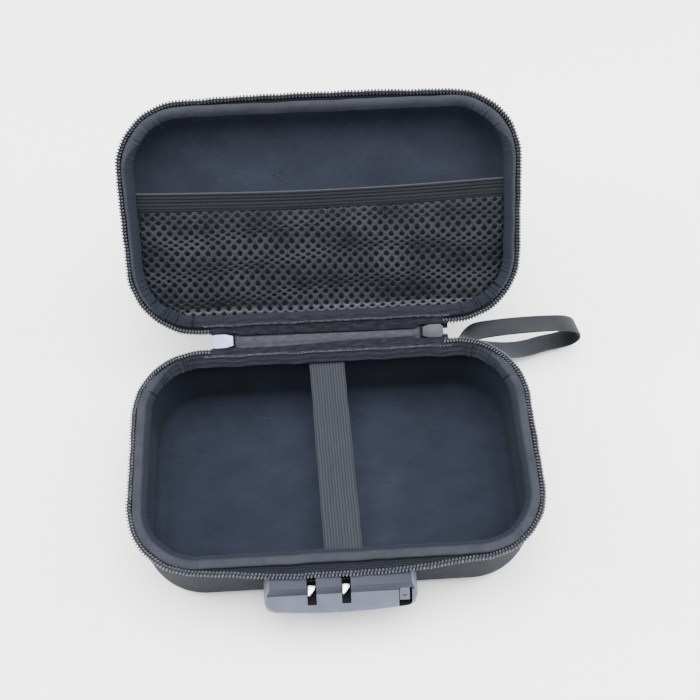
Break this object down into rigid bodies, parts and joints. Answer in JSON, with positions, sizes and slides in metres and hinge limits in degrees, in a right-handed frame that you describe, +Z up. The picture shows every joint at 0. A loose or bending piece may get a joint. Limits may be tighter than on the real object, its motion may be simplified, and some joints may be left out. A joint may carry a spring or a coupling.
{
  "type": "lockable storage case",
  "caption": "Zipped moulded storage case standing open, with a combination lock on its front wall, an elastic divider band, a mesh lid pocket and a wrist strap.",
  "frame": {"origin": "middle of the base's flat bottom", "axes": "+X to the right as seen from the lock, +Y to the back where the lid is hinged, +Z up"},
  "size_m": [0.2681, 0.2596, 0.1522],
  "materials": {
    "shell_cloth": "matte",
    "lining_velvet": "matte",
    "binding_tape": "matte",
    "zip_tape": "matte",
    "zip_coil": "satin",
    "elastic": "matte",
    "net": "matte",
    "hinge_cloth": "matte",
    "strap_webbing": "satin",
    "lock_plastic": "satin",
    "dark_plastic": "satin",
    "bright_metal": "polished"
  },
  "bodies": {
    "base": {"base_shell": "shell_cloth", "base_lining": "lining_velvet", "base_binding": "binding_tape", "base_zip_tape": "zip_tape", "base_zip_coil": "zip_coil", "hinge_strip_base": "hinge_cloth", "divider_band": "elastic", "strap_patch": "strap_webbing", "wrist_strap": "strap_webbing", "lock_housing": "lock_plastic", "lock_back_cover": "dark_plastic", "lock_inner_plate": "bright_metal", "lock_screw_1": "bright_metal", "lock_screw_2": "bright_metal", "lock_screw_3": "bright_metal", "lock_screw_4": "bright_metal", "dial_shaft": "bright_metal", "button_spring": "bright_metal"},
    "lid": {"lid_shell": "shell_cloth", "lid_lining": "lining_velvet", "lid_binding": "binding_tape", "lid_zip_tape": "zip_tape", "lid_zip_coil": "zip_coil", "hinge_strip_lid": "hinge_cloth", "pocket_net": "net", "pocket_elastic": "elastic"},
    "zip_end_left": {"zip_stop_left": "zip_coil"},
    "slider_left": {"zip_slider_left": "bright_metal"},
    "pull_left": {"zip_pull_left": "bright_metal"},
    "zip_end_right": {"zip_stop_right": "zip_coil"},
    "slider_right": {"zip_slider_right": "bright_metal"},
    "pull_right": {"zip_pull_right": "bright_metal"},
    "button": {"open_button": "lock_plastic"},
    "latch": {"latch_bar": "bright_metal"},
    "dial_1_body": {"dial_1": "dark_plastic"},
    "dial_2_body": {"dial_2": "dark_plastic"},
    "dial_3_body": {"dial_3": "dark_plastic"}
  },
  "joints": [
    {"name": "lid_hinge", "type": "hinge", "parent": "base", "child": "lid", "pos_m": [0, 0.06975, 0.054], "axis": [1, 0, 0], "range_deg": [-47, 133]},
    {"name": "zip_fold_left", "type": "hinge", "parent": "base", "child": "zip_end_left", "pos_m": [0, 0.06975, 0.054], "axis": [1, 0, 0], "range_deg": [-23.5, 66.5]},
    {"name": "slider_run_left", "type": "slide", "parent": "zip_end_left", "child": "slider_left", "axis": [-1, 0, 0], "range_m": [0, 0.0065]},
    {"name": "pull_swing_left", "type": "hinge", "parent": "slider_left", "child": "pull_left", "pos_m": [-0.0605, 0.07139, 0.05024], "axis": [0, 0.9171, 0.3987], "range_deg": [-85, 85]},
    {"name": "zip_fold_right", "type": "hinge", "parent": "base", "child": "zip_end_right", "pos_m": [0, 0.06975, 0.054], "axis": [1, 0, 0], "range_deg": [-23.5, 66.5]},
    {"name": "slider_run_right", "type": "slide", "parent": "zip_end_right", "child": "slider_right", "axis": [1, 0, 0], "range_m": [0, 0.0065]},
    {"name": "pull_swing_right", "type": "hinge", "parent": "slider_right", "child": "pull_right", "pos_m": [0.0605, 0.07139, 0.05024], "axis": [0, 0.9171, 0.3987], "range_deg": [-15, 85]},
    {"name": "dial_1_turn", "type": "hinge", "parent": "base", "child": "dial_1_body", "pos_m": [-0.0206, -0.07365, 0.028], "axis": [1, 0, 0], "continuous": true},
    {"name": "dial_2_turn", "type": "hinge", "parent": "base", "child": "dial_2_body", "pos_m": [-0.0111, -0.07365, 0.028], "axis": [1, 0, 0], "continuous": true},
    {"name": "dial_3_turn", "type": "hinge", "parent": "base", "child": "dial_3_body", "pos_m": [-0.0016, -0.07365, 0.028], "axis": [1, 0, 0], "continuous": true},
    {"name": "button_press", "type": "slide", "parent": "base", "child": "button", "axis": [0, 0, -1], "range_m": [0, 0.0025], "stiffness_N_per_m": 400, "springref_m": -0.002, "deforming": ["button_spring"]},
    {"name": "latch_slide", "type": "slide", "parent": "base", "child": "latch", "axis": [0, 1, 0], "range_m": [0, 0.003]}
  ],
  "couplings": [
    {"joint": "zip_fold_left", "follows": "lid_hinge", "ratio": 0.5},
    {"joint": "zip_fold_right", "follows": "lid_hinge", "ratio": 0.5},
    {"joint": "latch_slide", "follows": "button_press", "ratio": 1.2}
  ]
}
